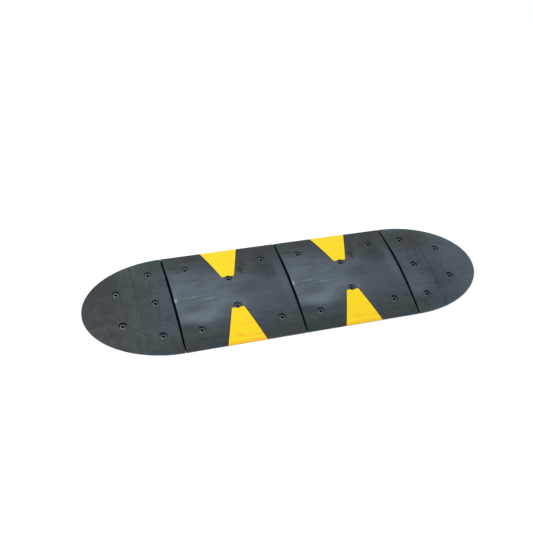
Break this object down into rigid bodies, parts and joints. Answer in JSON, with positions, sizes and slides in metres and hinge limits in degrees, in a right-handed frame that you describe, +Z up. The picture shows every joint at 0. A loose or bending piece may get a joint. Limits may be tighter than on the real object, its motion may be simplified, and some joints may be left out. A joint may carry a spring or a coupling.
{
  "type": "modular rubber speed bump",
  "caption": "Low arched rubber speed bump in keyed sections with half-oval end caps, inset yellow wedge panels and counterbored anchor holes with steel washers.",
  "frame": {"origin": "on the road plane, at the centre of the bump's footprint", "axes": "+X along the row of sections, +Y across it in the direction traffic drives, +Z up"},
  "size_m": [1.72, 0.48, 0.03],
  "materials": {
    "black_rubber": "matt moulded, dusty",
    "yellow_rubber": "smooth, satin",
    "washer_steel": "dull zinc, dirty"
  },
  "bodies": {
    "root": {"middle_section_left": "black_rubber", "middle_section_right": "black_rubber", "end_cap_left": "black_rubber", "end_cap_right": "black_rubber", "yellow_panel_left_front": "yellow_rubber", "yellow_panel_left_rear": "yellow_rubber", "yellow_panel_right_front": "yellow_rubber", "yellow_panel_right_rear": "yellow_rubber", "washer_middle_left_1": "washer_steel", "washer_middle_left_2": "washer_steel", "washer_middle_left_3": "washer_steel", "washer_middle_left_4": "washer_steel", "washer_middle_left_5": "washer_steel", "washer_middle_left_6": "washer_steel", "washer_middle_right_1": "washer_steel", "washer_middle_right_2": "washer_steel", "washer_middle_right_3": "washer_steel", "washer_middle_right_4": "washer_steel", "washer_middle_right_5": "washer_steel", "washer_middle_right_6": "washer_steel", "washer_cap_left_1": "washer_steel", "washer_cap_left_2": "washer_steel", "washer_cap_left_3": "washer_steel", "washer_cap_left_4": "washer_steel", "washer_cap_left_5": "washer_steel", "washer_cap_right_1": "washer_steel", "washer_cap_right_2": "washer_steel", "washer_cap_right_3": "washer_steel", "washer_cap_right_4": "washer_steel", "washer_cap_right_5": "washer_steel"}
  },
  "joints": []
}
